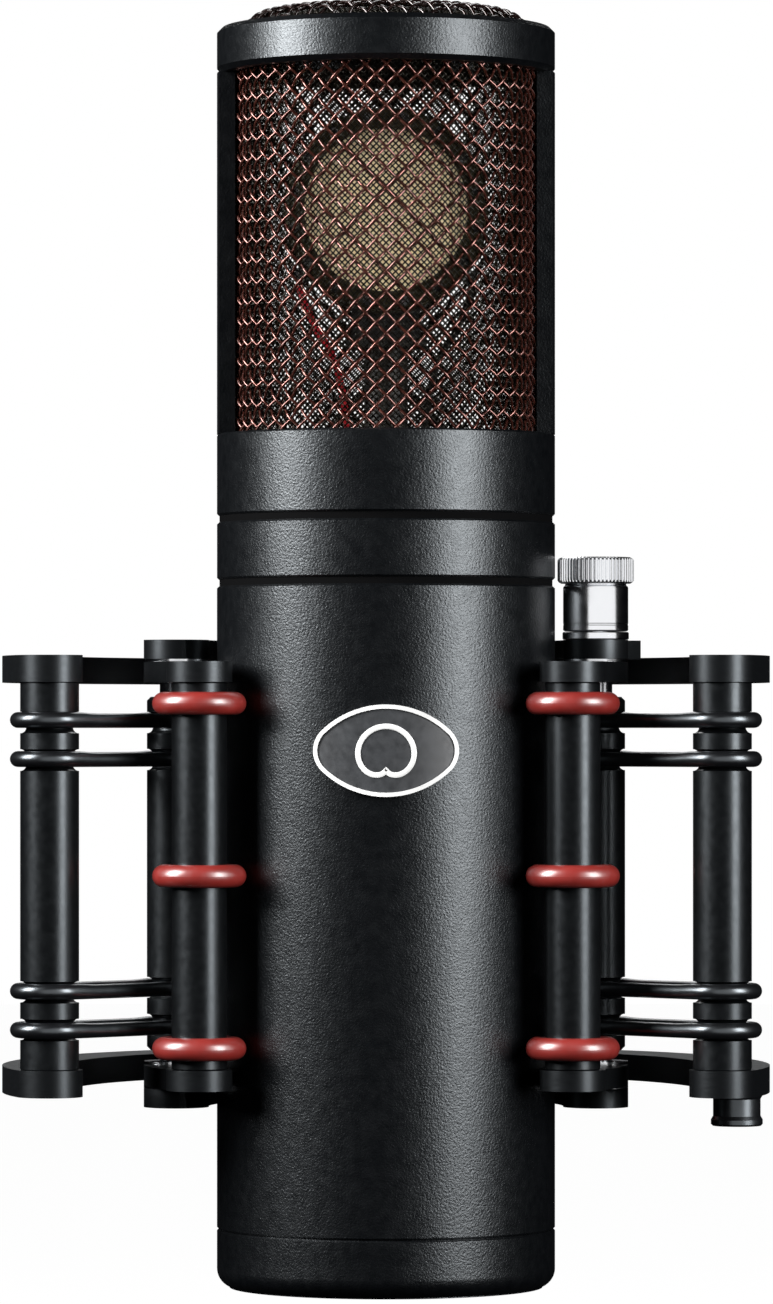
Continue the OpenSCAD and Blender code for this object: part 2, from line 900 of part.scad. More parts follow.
module stand_adapter() {
    color(anodised) at_mic() difference() {
        union() {
            at_pivot() disc(ear_r, -tongue_half, tongue_half);
            translate([-tongue_half, stand_y - ear_r, shoulder_z - eps])
                cube([2 * tongue_half, 2 * ear_r, pivot_z - shoulder_z + eps]);
            translate([0, stand_y, 0]) turned(0, adapter_r, socket_z, shoulder_z, 0.6);
        }
        at_pivot() disc(bolt_r + 0.09, -20, 20);
        translate([0, stand_y, socket_z - 1]) cylinder(r = socket_r, h = socket_l + 1);
    }
}

module friction_washers() {
    color("tan") at_mic() both_sides() at_pivot()
        disc_ring(bolt_r + 0.12, 8, tongue_half + 0.03, ear_in - 0.1);
}

// ---------------------------------------------------------------- assembly

head_frame();
outer_mesh();
inner_mesh();
top_mesh();
top_liner();
collar_ring();
body_tube();
bottom_cap();
badge_rim();
badge_face();
capsule_backplate();
clamping_rings();
diaphragms();
ring_screws();
solder_lugs();
capsule_saddle();
capsule_post();
red_lead();
black_lead();
top_deck();
chassis_rails();
front_board();
rear_board();
board_parts();
chassis_screws();
xlr_carrier();
xlr_insert();
xlr_pins();
cradle_top_plate();
cradle_bottom_plate();
left_hinge_pin();
right_hinge_pin();
band_sleeves();
hinge_washers();
rear_grip_posts();
rear_grip_rings();
left_arm_plates();
left_grip_post();
left_grip_rings();
cradle_screws();
right_arm_plates();
right_grip_post();
right_grip_rings();
right_arm_screws();
clamp_washer();
clamp_screw();
frame_top_plate();
frame_bottom_plate();
frame_posts();
rear_bracket();
frame_screws();
cable_guide();
left_bands();
right_bands();
tilt_bolt();
tilt_knob();
stand_adapter();
friction_washers();
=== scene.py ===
"""Looks of the condenser microphone in its shock mount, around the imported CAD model."""
import json
import math

import bmesh
import bpy
import numpy as np
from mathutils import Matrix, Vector

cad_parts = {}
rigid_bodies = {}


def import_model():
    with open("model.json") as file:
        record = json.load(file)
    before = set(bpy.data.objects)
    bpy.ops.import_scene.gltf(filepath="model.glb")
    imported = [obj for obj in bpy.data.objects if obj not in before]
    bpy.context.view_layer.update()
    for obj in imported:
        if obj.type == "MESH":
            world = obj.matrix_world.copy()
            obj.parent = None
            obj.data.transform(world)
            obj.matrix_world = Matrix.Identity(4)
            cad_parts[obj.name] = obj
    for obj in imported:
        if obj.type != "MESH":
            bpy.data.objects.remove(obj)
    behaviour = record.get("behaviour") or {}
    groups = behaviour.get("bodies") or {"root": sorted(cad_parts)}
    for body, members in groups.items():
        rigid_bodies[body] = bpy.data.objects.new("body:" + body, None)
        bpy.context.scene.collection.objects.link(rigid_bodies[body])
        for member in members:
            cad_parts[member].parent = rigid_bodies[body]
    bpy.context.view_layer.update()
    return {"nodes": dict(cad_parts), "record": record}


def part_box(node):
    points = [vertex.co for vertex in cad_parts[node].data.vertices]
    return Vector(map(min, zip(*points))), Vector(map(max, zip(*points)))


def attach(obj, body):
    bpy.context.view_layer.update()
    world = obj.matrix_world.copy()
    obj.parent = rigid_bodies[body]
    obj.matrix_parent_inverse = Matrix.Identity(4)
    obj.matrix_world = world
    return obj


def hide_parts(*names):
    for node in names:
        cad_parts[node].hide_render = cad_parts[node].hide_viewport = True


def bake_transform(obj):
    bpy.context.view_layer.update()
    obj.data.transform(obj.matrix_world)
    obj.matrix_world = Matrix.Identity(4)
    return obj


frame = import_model()
MM = 0.001

# ------------------------------------------------------------------ places, from the CAD

tube_lo, tube_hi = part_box("body_tube")
AXIS = Vector(((tube_lo.x + tube_hi.x) / 2, (tube_lo.y + tube_hi.y) / 2, 0))
BASE_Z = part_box("bottom_cap")[0].z
TUBE_R = (tube_hi.x - tube_lo.x) / 2
plate_lo, plate_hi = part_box("frame_bottom_plate")[0].z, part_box("frame_top_plate")[1].z
MID_Z = (plate_lo + plate_hi) / 2


def centre(node):
    lo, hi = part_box(node)
    return (lo + hi) / 2


# ------------------------------------------------------------------ camera

CAMERA_DISTANCE = 1.1008
CAMERA_Z = BASE_Z + 0.0897
camera_data = bpy.data.cameras.new("photo_camera")
camera_data.sensor_width = 36
camera_data.lens = 190.2
camera_data.shift_x = 0.00035
camera_data.shift_y = 0.056
camera_data.clip_end = 20
camera = bpy.data.objects.new("photo_camera", camera_data)
bpy.context.scene.collection.objects.link(camera)
camera.location = (AXIS.x, AXIS.y - CAMERA_DISTANCE, CAMERA_Z)
camera.rotation_euler = (math.pi / 2, 0, 0)
bpy.context.scene.camera = camera
bpy.context.scene.view_settings.view_transform = "Standard"

# ------------------------------------------------------------------ materials


class Mat:
    """A material with one Principled shader, and short ways to add nodes to it."""

    def __init__(self, name, colour, rough, metal=0.0, **sockets):
        self.m = bpy.data.materials.new(name)
        self.m.use_nodes = True
        self.t = self.m.node_tree
        self.b = self.t.nodes["Principled BSDF"]
        self.b.inputs["Base Color"].default_value = (*colour, 1)
        self.b.inputs["Roughness"].default_value = rough
        self.b.inputs["Metallic"].default_value = metal
        for k, v in sockets.items():
            self.b.inputs[k.replace("_", " ")].default_value = v
        self.coord = self.t.nodes.new("ShaderNodeTexCoord").outputs["Object"]
        self.normal = None

    def node(self, kind, **inputs):
        n = self.t.nodes.new(kind)
        for k, v in inputs.items():
            socket = n.inputs[k.replace("_", " ")]
            if isinstance(v, bpy.types.NodeSocket):
                self.t.links.new(v, socket)
            else:
                socket.default_value = v
        return n

    def link(self, a, b):
        self.t.links.new(a, b)

    def noise(self, scale, detail=2.0, rough=0.5, stretch=None):
        at = self.coord
        if stretch:
            at = self.node("ShaderNodeMapping", Vector=at, Scale=stretch).outputs[0]
        return self.node(
            "ShaderNodeTexNoise", Vector=at, Scale=scale, Detail=detail, Roughness=rough
        ).outputs["Fac"]

    def spread(self, value, lo, hi, frm=0.3, to=0.7):
        n = self.node("ShaderNodeMapRange", Value=value)
        for k, v in (("From Min", frm), ("From Max", to), ("To Min", lo), ("To Max", hi)):
            n.inputs[k].default_value = v
        return n.outputs["Result"]

    def bump(self, height, distance, strength=1.0):
        n = self.node("ShaderNodeBump", Height=height, Distance=distance, Strength=strength)
        if self.normal:
            self.link(self.normal, n.inputs["Normal"])
        self.normal = n.outputs["Normal"]
        self.link(self.normal, self.b.inputs["Normal"])
        return self

    def roughness(self, value, lo, hi, frm=0.3, to=0.7):
        self.link(self.spread(value, lo, hi, frm, to), self.b.inputs["Roughness"])
        return self

    def colours(self, value, a, b, frm=0.3, to=0.7):
        mix = self.node("ShaderNodeMix")
        mix.data_type = "RGBA"
        self.link(self.spread(value, 0, 1, frm, to), mix.inputs["Factor"])
        for s in mix.inputs:
            if s.type == "RGBA":
                s.default_value = (*(a if s.name == "A" else b), 1)
        self.link([o for o in mix.outputs if o.type == "RGBA"][0], self.b.inputs["Base Color"])
        return self


def powder_coat():
    k = Mat("powder_coat", (0.0018, 0.0022, 0.0026), 0.34, Specular_IOR_Level=0.55,
            Specular_Tint=(0.90, 0.96, 1.0, 1))
    k.colours(k.noise(900), (0.0012, 0.0015, 0.0020), (0.0024, 0.0028, 0.0034))
    k.roughness(k.noise(600), 0.29, 0.35)
    k.bump(k.noise(2800, 2, 0.6), 0.00008, 0.8)
    return k.m


def anodised():
    k = Mat("anodised_black", (0.0025, 0.0028, 0.0032), 0.33, Specular_IOR_Level=0.5,
            Specular_Tint=(0.86, 0.94, 1.0, 1))
    k.colours(k.noise(300), (0.002, 0.0023, 0.0026), (0.0032, 0.0036, 0.004))
    k.roughness(k.noise(900), 0.29, 0.36)
    k.bump(k.noise(9000, 2, 0.5), 0.000004, 0.4)
    return k.m


def anodised_turned():
    """The plates: the same black with faint marks round the milled sides."""
    k = Mat("anodised_milled", (0.0025, 0.0028, 0.0032), 0.35, Specular_IOR_Level=0.5,
            Specular_Tint=(0.86, 0.94, 1.0, 1))
    k.roughness(k.noise(500, stretch=(1, 1, 20)), 0.32, 0.40)
    k.bump(k.noise(7000, 2, 0.5, stretch=(0.2, 0.2, 3)), 0.000003, 0.4)
    return k.m


def chrome():
    k = Mat("polished_chrome", (0.84, 0.85, 0.87), 0.19, 1.0)
    k.roughness(k.noise(400), 0.16, 0.22)
    k.bump(k.noise(1500, 2), 0.000002, 0.3)
    return k.m


def steel(name="small_steel", colour=(0.55, 0.57, 0.60), rough=0.25):
    k = Mat(name, colour, rough, 1.0)
    k.roughness(k.noise(1200), rough - 0.07, rough + 0.08)
    k.bump(k.noise(6000, 2, 0.6), 0.000004, 0.4)
    return k.m


def red_silicone():
    k = Mat("red_silicone", (0.24, 0.018, 0.014), 0.36, Specular_IOR_Level=1.0,
            Coat_Weight=1.0, Coat_Roughness=0.33)
    k.colours(k.noise(250), (0.21, 0.015, 0.011), (0.27, 0.022, 0.017))
    k.roughness(k.noise(700), 0.32, 0.42)
    k.bump(k.noise(5000, 3), 0.000006, 0.4)
    return k.m


def black_rubber():
    k = Mat("black_rubber", (0.003, 0.003, 0.0035), 0.30, Specular_IOR_Level=1.0,
            Specular_Tint=(0.86, 0.94, 1.0, 1))
    k.roughness(k.noise(700), 0.28, 0.33)
    k.bump(k.noise(3000, 1), 0.000002, 0.2)
    return k.m


def copper_wire():
    k = Mat("copper_mesh", (0.11, 0.032, 0.022), 0.24, 0.75, Coat_Weight=0.8, Coat_Roughness=0.18)
    k.colours(k.noise(400), (0.070, 0.018, 0.012), (0.15, 0.044, 0.030))
    k.roughness(k.noise(1500), 0.18, 0.28)
    return k.m


def copper_wire_top_painted_shade():
    """The dome's wires: the same finish, darkened as painted shade on the top."""
    k = Mat("copper_mesh_top_painted_shade", (0.015, 0.008, 0.007), 0.24, 0.6, Coat_Weight=1.0,
            Coat_Roughness=0.10)
    k.colours(k.noise(400), (0.010, 0.005, 0.004), (0.026, 0.012, 0.010))
    k.roughness(k.noise(1500), 0.18, 0.28)
    return k.m


def fine_wire():
    k = Mat("fine_mesh", (0.012, 0.010, 0.007), 0.34, 0.7)
    k.colours(k.noise(500), (0.008, 0.007, 0.005), (0.018, 0.015, 0.010))
    k.roughness(k.noise(1500), 0.24, 0.40)
    return k.m


def plain(name, colour, rough, metal=0.0, grain=3000, depth=0.00001, vary=0.25, **sockets):
    k = Mat(name, colour, rough, metal, **sockets)
    k.colours(k.noise(grain / 6), tuple(c * (1 - vary) for c in colour),
              tuple(min(1, c * (1 + vary)) for c in colour))
    k.roughness(k.noise(grain / 3), max(0.02, rough - 0.06), rough + 0.06)
    k.bump(k.noise(grain, 3), depth, 0.5)
    return k.m


SLOTS = {
    "powder_coat": powder_coat(),
    "copper_mesh": copper_wire(),
    "fine_mesh": fine_wire(),
    "badge_white": plain("badge_white", (0.80, 0.80, 0.79), 0.30, vary=0.03, depth=0.000003),
    "badge_grey": plain("badge_grey", (0.035, 0.037, 0.040), 0.45, depth=0.000004),
    # the capsule's brass is darkened to a dark olive: painted shade, as the capsule sits in shadow
    # inside the head
    "capsule_brass": plain("capsule_brass", (0.050, 0.042, 0.022), 0.40, 0.6, grain=2500,
                           depth=0.000006),
    "gold_film": plain("gold_film", (0.96, 0.80, 0.47), 0.34, 0.0, grain=900, depth=0.00002,
                       vary=0.04, Specular_IOR_Level=0.8),
    "small_steel": steel(),
    "nickel": steel("nickel", (0.62, 0.61, 0.57), 0.22),
    "black_plastic": plain("black_plastic", (0.018, 0.018, 0.019), 0.42),
    "red_wire": plain("red_wire", (0.42, 0.012, 0.02), 0.35, depth=0.000004),
    "black_wire": plain("black_wire", (0.015, 0.015, 0.015), 0.35, depth=0.000004),
    "ivory_plastic": plain("ivory_plastic", (0.68, 0.62, 0.50), 0.40, vary=0.08),
    "board_green": plain("board_green", (0.02, 0.13, 0.05), 0.35, depth=0.000004),
    "component": plain("component", (0.05, 0.07, 0.20), 0.40, vary=0.4, depth=0.000004),
    "anodised_black": anodised(),
    "polished_chrome": chrome(),
    "red_silicone": red_silicone(),
    "black_rubber": black_rubber(),
    "fibre": plain("fibre", (0.33, 0.20, 0.10), 0.65, vary=0.2),
}
MILLED = anodised_turned()
NODE_SLOT = {s["node"]: s["material_slot"] for s in frame["record"]["subparts"]}
PLATES = ("frame_top_plate", "frame_bottom_plate", "cradle_top_plate", "cradle_bottom_plate",
          "left_arm_plates", "right_arm_plates", "rear_bracket")


def set_material(obj, material):
    obj.data.materials.clear()
    obj.data.materials.append(material)


for node, obj in frame["nodes"].items():
    set_material(obj, MILLED if node in PLATES else SLOTS[NODE_SLOT[node]])


def painted_shade_grooves():
    """The floors of the two grooves beside the collar ring get a near-black, barely reflecting
    material: painted shade, so they stay dark.
    """
    collar = frame["nodes"]["collar_ring"]
    # near-black colour and almost no specular: painted shade on the groove floors
    groove_shade = Mat("groove_painted_shade", (0.001, 0.001, 0.0012), 0.8, Specular_IOR_Level=0.06)
    groove_shade.bump(groove_shade.noise(2800, 2, 0.6), 0.00002, 0.5)
    collar.data.materials.append(groove_shade.m)
    to_world = collar.matrix_world
    for face in collar.data.polygons:
        at = to_world @ face.center
        if math.hypot(at.x - AXIS.x, at.y - AXIS.y) < TUBE_R - 0.3 * MM:
            face.material_index = 1


painted_shade_grooves()
# the capsule post inside the head gets a dark, dull metal: painted shade, so it stays dark within
# the basket
set_material(frame["nodes"]["capsule_post"],
             plain("post_painted_shade", (0.05, 0.05, 0.048), 0.5, 0.8, depth=0.000004))

NODE_BODY = {n: b for b, ns in frame["record"]["behaviour"]["bodies"].items() for n in ns}

# ------------------------------------------------------------------ mesh helpers


def piece(name, verts, faces, slot, stands_for=(), body=None, smooth=math.radians(40),
          material=None):
    """A new mesh piece from vertices (metres) and faces, with a slot's material."""
    mesh = bpy.data.meshes.new(name)
    if isinstance(faces, np.ndarray):
        k = faces.shape[1]
        mesh.vertices.add(len(verts))
        mesh.vertices.foreach_set("co", np.asarray(verts, np.float32).ravel())
        mesh.loops.add(faces.size)
        mesh.loops.foreach_set("vertex_index", faces.astype(np.int32).ravel())
        mesh.polygons.add(len(faces))
        mesh.polygons.foreach_set("loop_start", np.arange(0, faces.size, k, dtype=np.int32))
        mesh.update(calc_edges=True)
    else:
        mesh.from_pydata([tuple(v) for v in verts], [], faces)
    mesh.validate()
    mesh.shade_smooth()
    if smooth:
        mesh.set_sharp_from_angle(angle=smooth)
    obj = bpy.data.objects.new(name, mesh)
    bpy.context.scene.collection.objects.link(obj)
    set_material(obj, material or SLOTS[slot])
    if stands_for:
        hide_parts(*stands_for)
    if body:
        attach(obj, body)
    return obj


def sweep(paths, normals, radii, sides, closed=False):
    """Round tubes along many paths at once. paths and normals are (wires, points, 3)."""
    if closed:
        tangent = np.roll(paths, -1, 1) - np.roll(paths, 1, 1)
    else:
        tangent = np.gradient(paths, axis=1)
    tangent /= np.linalg.norm(tangent, axis=2, keepdims=True)
    n = normals - (normals * tangent).sum(2, keepdims=True) * tangent
    n /= np.linalg.norm(n, axis=2, keepdims=True)
    b = np.cross(tangent, n)
    a = np.arange(sides) * 2 * np.pi / sides
    ring = n[:, :, None] * np.cos(a)[:, None] + b[:, :, None] * np.sin(a)[:, None]
    verts = paths[:, :, None] + ring * np.asarray(radii)[..., None, None]
    w, p, s, _ = verts.shape
    index = np.arange(w * p * s).reshape(w, p, s)
    nxt = np.roll(index, -1, 1) if closed else index[:, 1:]
    cur = index if closed else index[:, :-1]
    quads = np.stack([cur, np.roll(cur, -1, 2), np.roll(nxt, -1, 2), nxt], -1).reshape(-1, 4)
    return verts.reshape(-1, 3), quads, index


def end_caps(index):
    """One face over each end of each open tube, as lists of vertex numbers."""
    return [list(map(int, w[0][::-1])) for w in index] + [list(map(int, w[-1])) for w in index]


def squared(c):
    """A wave with longer straight tops, as on crimped wire."""
    return c * (1.5 - 0.5 * c * c)


# ------------------------------------------------------------------ woven meshes


def weave_round(name, node, mid_r, wire_r, count, per_cross, sides, slot, groups=1):
    """Plain weave at 45 degrees round the microphone's axis, a piece per direction and group."""
    lo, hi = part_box(node)
    pitch = math.pi * mid_r / count
    z = np.arange(lo.z, hi.z + 1e-9, pitch / per_cross)
    made = []
    for hand in (1, -1):
        for g in range(groups):
            k = np.arange(g, count, groups)[:, None]
            turn = hand * (z - lo.z)[None] / mid_r + k * 2 * np.pi / count
            wave = hand * squared(np.cos(count * (z - lo.z) / mid_r))[None]
            r = mid_r + wire_r * 1.03 * wave
            path = np.stack([AXIS.x + r * np.cos(turn), AXIS.y + r * np.sin(turn),
                             np.broadcast_to(z, turn.shape)], -1)
            out = np.stack([np.cos(turn), np.sin(turn), np.zeros_like(turn)], -1)
            verts, quads, _ = sweep(path, out, np.full(path.shape[:2], wire_r), sides)
            side = "right" if hand > 0 else "left"
            made.append(piece(f"{name}_{side}_{g}", verts, quads, slot, smooth=None))
    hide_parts(node)
    for m in made:
        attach(m, NODE_BODY[node])
    return made


OUTER_WIRE_R = 0.235 * MM
INNER_WIRE_R = 0.125 * MM
weave_round("outer_weave", "outer_mesh", mid_r=23.74 * MM, wire_r=OUTER_WIRE_R, count=46,
            per_cross=5, sides=8, slot="copper_mesh")
weave_round("inner_weave", "inner_mesh", mid_r=22.97 * MM, wire_r=INNER_WIRE_R, count=144,
            per_cross=2, sides=4, slot="fine_mesh", groups=2)


def weave_dome(name, node, wire_r, pitch, per_cross, sides, slot, drop=0.0, material=None):
    """Plain weave over the shallow dome on top, clipped to its round edge."""
    lo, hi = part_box(node)
    radius = (hi.x - lo.x) / 2 - wire_r
    rise = hi.z - lo.z - 3.2 * wire_r
    top = hi.z - 2.05 * wire_r - drop

    def height(d2):
        u = d2 / radius**2
        return top - rise * (0.08 * u + 0.92 * u**7)

    made = []
    n = int(radius // pitch)
    for across in (0, 1):
        paths = []
        for i in range(-n, n + 1):
            off = i * pitch
            half = math.sqrt(max(radius**2 - off**2, 0))
            if half < pitch:
                continue
            steps = int(2 * half / pitch * per_cross) + 1
            t = np.linspace(-half, half, steps)
            wave = squared(np.cos(np.pi * t / pitch)) * (1 if i % 2 else -1) * (1 if across else -1)
            z = height(off**2 + t**2) + wire_r * 1.03 * wave
            u, v = (t, np.full_like(t, off)) if across else (np.full_like(t, off), t)
            c = math.sqrt(0.5)
            paths.append(np.stack([AXIS.x + c * (u - v), AXIS.y + c * (u + v), z], -1))
        verts, faces, shift = [], [], 0
        for p in paths:
            up = np.zeros_like(p)
            up[:, 2] = 1
            v, q, index = sweep(p[None], up[None], np.full((1, len(p)), wire_r), sides)
            verts.append(v)
            faces += (q + shift).tolist() + [[a + shift for a in f] for f in end_caps(index)]
            shift += len(v)
        side = "across" if across else "along"
        made.append(piece(f"{name}_{side}", np.concatenate(verts), faces, slot, smooth=None,
                          material=material))
    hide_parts(node)
    for m in made:
        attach(m, NODE_BODY[node])


DOME_DROP = 0.6 * MM
# the dome's wires use the darkened copper: painted shade on the top
weave_dome("top_weave", "top_mesh", wire_r=OUTER_WIRE_R, pitch=2.24 * MM, per_cross=6, sides=8,
           slot="copper_mesh", drop=DOME_DROP, material=copper_wire_top_painted_shade())
weave_dome("top_fine_weave", "top_liner", wire_r=0.11 * MM, pitch=0.60 * MM, per_cross=2, sides=4,
           slot="fine_mesh", drop=DOME_DROP)

# ------------------------------------------------------------------ elastic bands


def bands(node, side):
    """Four cord loops round the outer post and the sleeve, thinner where they are stretched."""
    lo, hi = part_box(node)
    cord = 1.25 * MM
    thin = 1.15 * MM
    loop_r = 5.0 * MM
    s = 1 if side == "right" else -1
    hinge = Vector((centre(f"{side}_hinge_pin").x, AXIS.y, 0))
    outer = hi.x if s > 0 else lo.x
    post_x = outer - s * (loop_r + 1.2 * MM)
    post = Vector((post_x, lo.y + loop_r + 1.2 * MM, 0))
    run = post - hinge
    length = run.length
    d = run / length
    nrm = Vector((-d.y, d.x, 0))
    arc = np.linspace(-math.pi / 2, math.pi / 2, 25)
    pts = []
    flat = np.linspace(0, 1, 15)[1:-1]
    for a in arc:
        pts.append((*(post + d * loop_r * math.cos(a) + nrm * loop_r * math.sin(a))[:2], 0.0))
    for f in flat:
        pts.append((*(post.lerp(hinge, f) + nrm * loop_r)[:2], 1.0))
    for a in arc:
        pts.append((*(hinge - d * loop_r * math.cos(a) + nrm * loop_r * -math.sin(a))[:2], 0.0))
    for f in flat:
        pts.append((*(hinge.lerp(post, f) - nrm * loop_r)[:2], 1.0))
    pts = np.array(pts)
    # how stretched each point is, eased in over the first millimetres of the straight run
    along = (pts[:, :2] - np.array(hinge)[:2]) @ np.array(d)[:2]
    ease = np.clip(np.minimum(along - 1.5 * MM, length - 1.5 * MM - along) / (3.5 * MM), 0, 1)
    ease = ease * ease * (3 - 2 * ease)
    radius = cord + (thin - cord) * ease
    verts, faces, shift = [], [], 0
    levels = [24.49, 18.36, -18.06, -24.17]
    for level in levels:
        z = MID_Z + level * MM - (cord - thin) * ease
        path = np.column_stack([pts[:, 0], pts[:, 1], z])
        up = np.zeros_like(path)
        up[:, 2] = 1
        v, q, _ = sweep(path[None], up[None], radius[None], 20, closed=True)
        verts.append(v)
        faces.append(q + shift)
        shift += len(v)
    obj = piece(f"{side}_elastic_bands", np.concatenate(verts), np.concatenate(faces),
                "black_rubber", stands_for=(node,), smooth=None)
    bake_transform(obj)
    return obj


bands("left_bands", "left")
bands("right_bands", "right")

# ------------------------------------------------------------------ bevelled copies of hard parts


def bevelled(node, width, material=None):
    """A copy of a CAD node with its sharp edges broken, in place of the node."""
    src = frame["nodes"][node]
    mesh = src.data.copy()
    mesh.name = f"{node}_detail"
    obj = bpy.data.objects.new(f"{node}_detail", mesh)
    bpy.context.scene.collection.objects.link(obj)
    if "custom_normal" in mesh.attributes:
        mesh.attributes.remove(mesh.attributes["custom_normal"])
    bm = bmesh.new()
    bm.from_mesh(mesh)
    bmesh.ops.remove_doubles(bm, verts=bm.verts, dist=1e-6)
    bmesh.ops.dissolve_limit(bm, angle_limit=math.radians(0.3), verts=bm.verts, edges=bm.edges)
    bm.to_mesh(mesh)
    bm.free()
    mod = obj.modifiers.new("bevel", "BEVEL")
    mod.width = width
    mod.segments = 2
    mod.limit_method = "ANGLE"
    mod.angle_limit = math.radians(40)
    mod.use_clamp_overlap = True
    mesh.shade_smooth()
    weigh = obj.modifiers.new("weigh", "WEIGHTED_NORMAL")
    weigh.keep_sharp = True
    weigh.weight = 70
    bpy.context.view_layer.update()
    done = bpy.data.meshes.new_from_object(obj.evaluated_get(bpy.context.evaluated_depsgraph_get()))
    obj.modifiers.clear()
    obj.data = done
    set_material(obj, material or SLOTS[NODE_SLOT[node]])
    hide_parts(node)
    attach(obj, NODE_BODY[node])
    return obj


for node in PLATES:
    bevelled(node, 0.18 * MM, material=MILLED)
for node in ("stand_adapter", "tilt_knob"):
    bevelled(node, 0.25 * MM)

# ------------------------------------------------------------------ clamp screw


def clamp_screw():
    """Polished thumb screw: knurled head with broken edges, necked barrel and plain stem."""
    lo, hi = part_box("clamp_screw")
    c = centre("clamp_screw")
    washer_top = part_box("clamp_washer")[1].z
    head_r = (hi.x - lo.x) / 2
    barrel_r = 5.2 * MM
    teeth, per = 58, 6
    count = teeth * per
    ang = np.arange(count) * 2 * np.pi / count
    tooth = np.clip(np.cos(teeth * ang) * 1.6, -1, 1) * 0.5 - 0.5
    head_z = hi.z - 4.2 * MM
    z0 = washer_top + 0.1 * MM
    rows = [
        (lo.z, 0.0, 0), (lo.z, 1.5 * MM, 0), (lo.z + 0.4 * MM, 1.9 * MM, 0), (z0, 1.9 * MM, 0),
        (z0, 4.9 * MM, 0), (z0 + 0.2 * MM, barrel_r, 0), (z0 + 0.9 * MM, barrel_r, 0),
        (z0 + 1.0 * MM, barrel_r - 0.05 * MM, 0), (z0 + 1.2 * MM, barrel_r - 0.05 * MM, 0),
        (z0 + 1.3 * MM, barrel_r, 0), (head_z - 0.75 * MM, barrel_r, 0),
        (head_z - 0.5 * MM, barrel_r - 0.06 * MM, 0), (head_z - 0.3 * MM, barrel_r - 0.3 * MM, 0),
        (head_z, barrel_r - 0.35 * MM, 0), (head_z, head_r - 0.55 * MM, 0),
        (head_z + 0.22 * MM, head_r - 0.18 * MM, 0.25), (head_z + 0.5 * MM, head_r, 1.0),
        (hi.z - 0.5 * MM, head_r, 1.0), (hi.z - 0.22 * MM, head_r - 0.18 * MM, 0.25),
        (hi.z, head_r - 0.6 * MM, 0), (hi.z, head_r - 1.3 * MM, 0),
        (hi.z - 0.3 * MM, head_r - 1.6 * MM, 0), (hi.z - 0.3 * MM, 0.0, 0),
    ]
    verts, faces = [], []
    for z, r, k in rows:
        rr = r + 0.28 * MM * k * tooth
        verts.append(np.column_stack([c.x + rr * np.cos(ang), c.y + rr * np.sin(ang),
                                      np.full(count, z)]))
    idx = np.arange(len(rows) * count).reshape(len(rows), count)
    a, b = idx[:-1], idx[1:]
    faces = np.stack([a, np.roll(a, -1, 1), np.roll(b, -1, 1), b], -1).reshape(-1, 4)
    obj = piece("clamp_screw_detail", np.concatenate(verts), faces, "polished_chrome",
                stands_for=("clamp_screw",), smooth=None)
    bm = bmesh.new()
    bm.from_mesh(obj.data)
    bmesh.ops.remove_doubles(bm, verts=bm.verts, dist=1e-7)
    bm.to_mesh(obj.data)
    bm.free()
    obj.data.set_sharp_from_angle(angle=math.radians(25))
    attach(obj, "clamp_screw")


clamp_screw()

# ------------------------------------------------------------------ badge symbol


def badge_symbol():
    """A raised cardioid, the usual sign of a one-sided pick-up pattern, on the curved badge."""
    lo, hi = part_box("badge_face")
    mid = (lo + hi) / 2
    surface = AXIS.y - lo.y
    size = (hi.z - lo.z) * 0.35
    n = 96
    t = np.linspace(0, 2 * np.pi, n, endpoint=False)
    r = size * (1 + np.sin(t)) / 1.35
    x = r * np.cos(t)
    z = r * np.sin(t) - size * 0.648
    stroke = 0.42 * MM
    path2 = np.column_stack([x, z])
    tan = np.roll(path2, -1, 0) - np.roll(path2, 1, 0)
    tan /= np.maximum(np.linalg.norm(tan, axis=1, keepdims=True), 1e-9)
    nor = np.column_stack([-tan[:, 1], tan[:, 0]])
    raise_ = 0.16 * MM
    rows = []
    for off, up in ((-0.5, -0.05 * MM), (-0.5, raise_ * 0.7), (-0.36, raise_), (0.36, raise_),
                    (0.5, raise_ * 0.7), (0.5, -0.05 * MM)):
        p = path2 + nor * stroke * off * 2
        rr = surface + up
        rows.append(np.column_stack([mid.x + p[:, 0],
                                     AXIS.y - np.sqrt(rr**2 - p[:, 0] ** 2), mid.z + p[:, 1]]))
    verts = np.stack(rows, 1).reshape(-1, 3)
    idx = np.arange(n * 6).reshape(n, 6)
    nx = np.roll(idx, -1, 0)
    faces = [[int(v) for v in (idx[i, j], nx[i, j], nx[i, (j + 1) % 6], idx[i, (j + 1) % 6])]
             for i in range(n) for j in range(6)]
    piece("badge_symbol", verts, faces, "badge_white", body=NODE_BODY["badge_face"])


badge_symbol()

# ------------------------------------------------------------------ stage and light


def stage_material(name, colour, glow):
    m = bpy.data.materials.new(name)
    m.use_nodes = True
    b = m.node_tree.nodes["Principled BSDF"]
    b.inputs["Base Color"].default_value = (*colour, 1)
    b.inputs["Roughness"].default_value = 0.9
    b.inputs["Emission Color"].default_value = (1, 1, 1, 1)
    b.inputs["Emission Strength"].default_value = glow
    return m


def floor():
    """A round pale floor, well below the microphone."""
    verts = [(4 * math.cos(a * math.pi / 32), 4 * math.sin(a * math.pi / 32), BASE_Z - 0.12)
             for a in range(64)]
    mesh = bpy.data.meshes.new("floor")
    mesh.from_pydata(verts, [], [list(range(64))])
    obj = bpy.data.objects.new("floor", mesh)
    bpy.context.scene.collection.objects.link(obj)
    set_material(obj, stage_material("floor_pale", (0.1, 0.1, 0.1), 0.98))
    obj.visible_glossy = False
    obj.visible_diffuse = False


floor()

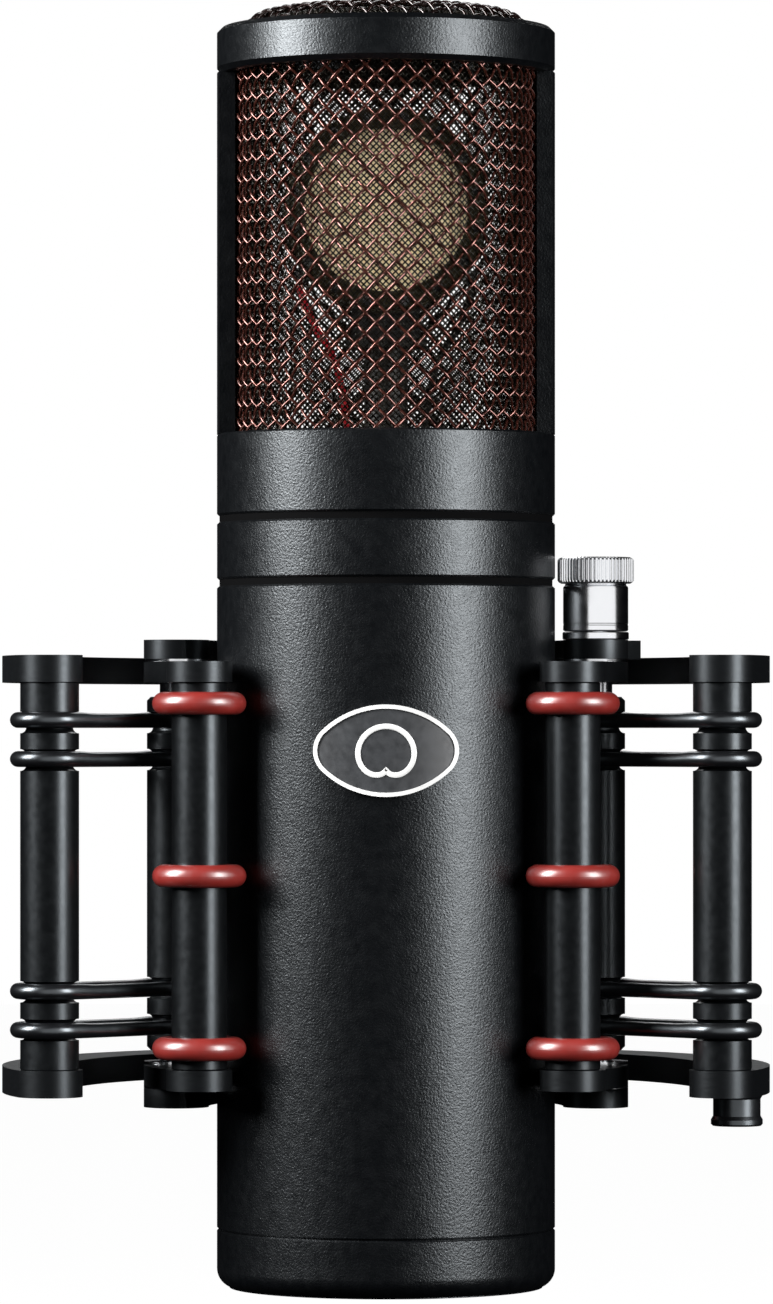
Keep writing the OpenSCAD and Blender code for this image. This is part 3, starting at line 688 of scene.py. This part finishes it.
world = bpy.data.worlds.new("studio")
bpy.context.scene.world = world
world.use_nodes = True
nt = world.node_tree
back = nt.nodes["Background"]
back.inputs["Color"].default_value = (0.0025, 0.0025, 0.003, 1)
seen = nt.nodes.new("ShaderNodeBackground")
seen.inputs["Color"].default_value = (1, 1, 1, 1)
path = nt.nodes.new("ShaderNodeLightPath")
mix = nt.nodes.new("ShaderNodeMixShader")
nt.links.new(path.outputs["Is Camera Ray"], mix.inputs["Fac"])
nt.links.new(back.outputs[0], mix.inputs[1])
nt.links.new(seen.outputs[0], mix.inputs[2])
nt.links.new(mix.outputs[0], nt.nodes["World Output"].inputs["Surface"])


def softbox(name, azimuth, distance, height, width, tall, power, tip=0.0):
    """A rectangular light that looks at the microphone's axis. Azimuth 0 is the camera's side."""
    data = bpy.data.lights.new(name, "AREA")
    data.shape = "RECTANGLE"
    data.size, data.size_y = width, tall
    data.energy = power
    obj = bpy.data.objects.new(name, data)
    bpy.context.scene.collection.objects.link(obj)
    a = math.radians(azimuth)
    obj.location = (AXIS.x + distance * math.sin(a), AXIS.y - distance * math.cos(a), height)
    aim = Vector((AXIS.x, AXIS.y, height + tip)) - obj.location
    obj.rotation_euler = aim.to_track_quat("-Z", "Y").to_euler()
    obj.visible_camera = False
    return obj


left_box = softbox("left_box", azimuth=-69, distance=0.55, height=0.365, width=0.25, tall=0.43,
                   power=10.2, tip=-0.09)
right_box = softbox("right_box", azimuth=52, distance=0.80, height=0.30, width=0.35, tall=0.62,
                    power=10.4, tip=0.0)
softbox("back_box", azimuth=180, distance=0.9, height=0.75, width=0.5, tall=0.5,
        power=3.0, tip=-0.75)


def wearing(*slots):
    """A collection of every mesh that carries one of these slots' materials."""
    names = {SLOTS[slot].name for slot in slots}
    found = bpy.data.collections.new("wearing_" + "_".join(slots))
    for obj in bpy.context.scene.objects:
        if obj.type == "MESH" and names & {m.name for m in obj.data.materials if m}:
            found.objects.link(obj)
    return found


chrome_card = softbox("chrome_card", azimuth=24, distance=0.5, height=0.11, width=1.2, tall=0.6,
                      power=2.4)
chrome_card.light_linking.receiver_collection = wearing("polished_chrome", "black_rubber")
film_card = softbox("film_card", azimuth=0, distance=0.6, height=0.20, width=0.3, tall=0.3,
                    power=0.8)
film_card.light_linking.receiver_collection = wearing("gold_film")

not_polished = wearing("polished_chrome")
for item in not_polished.collection_objects:
    item.light_linking.link_state = "EXCLUDE"
left_box.light_linking.receiver_collection = not_polished
right_box.light_linking.receiver_collection = not_polished
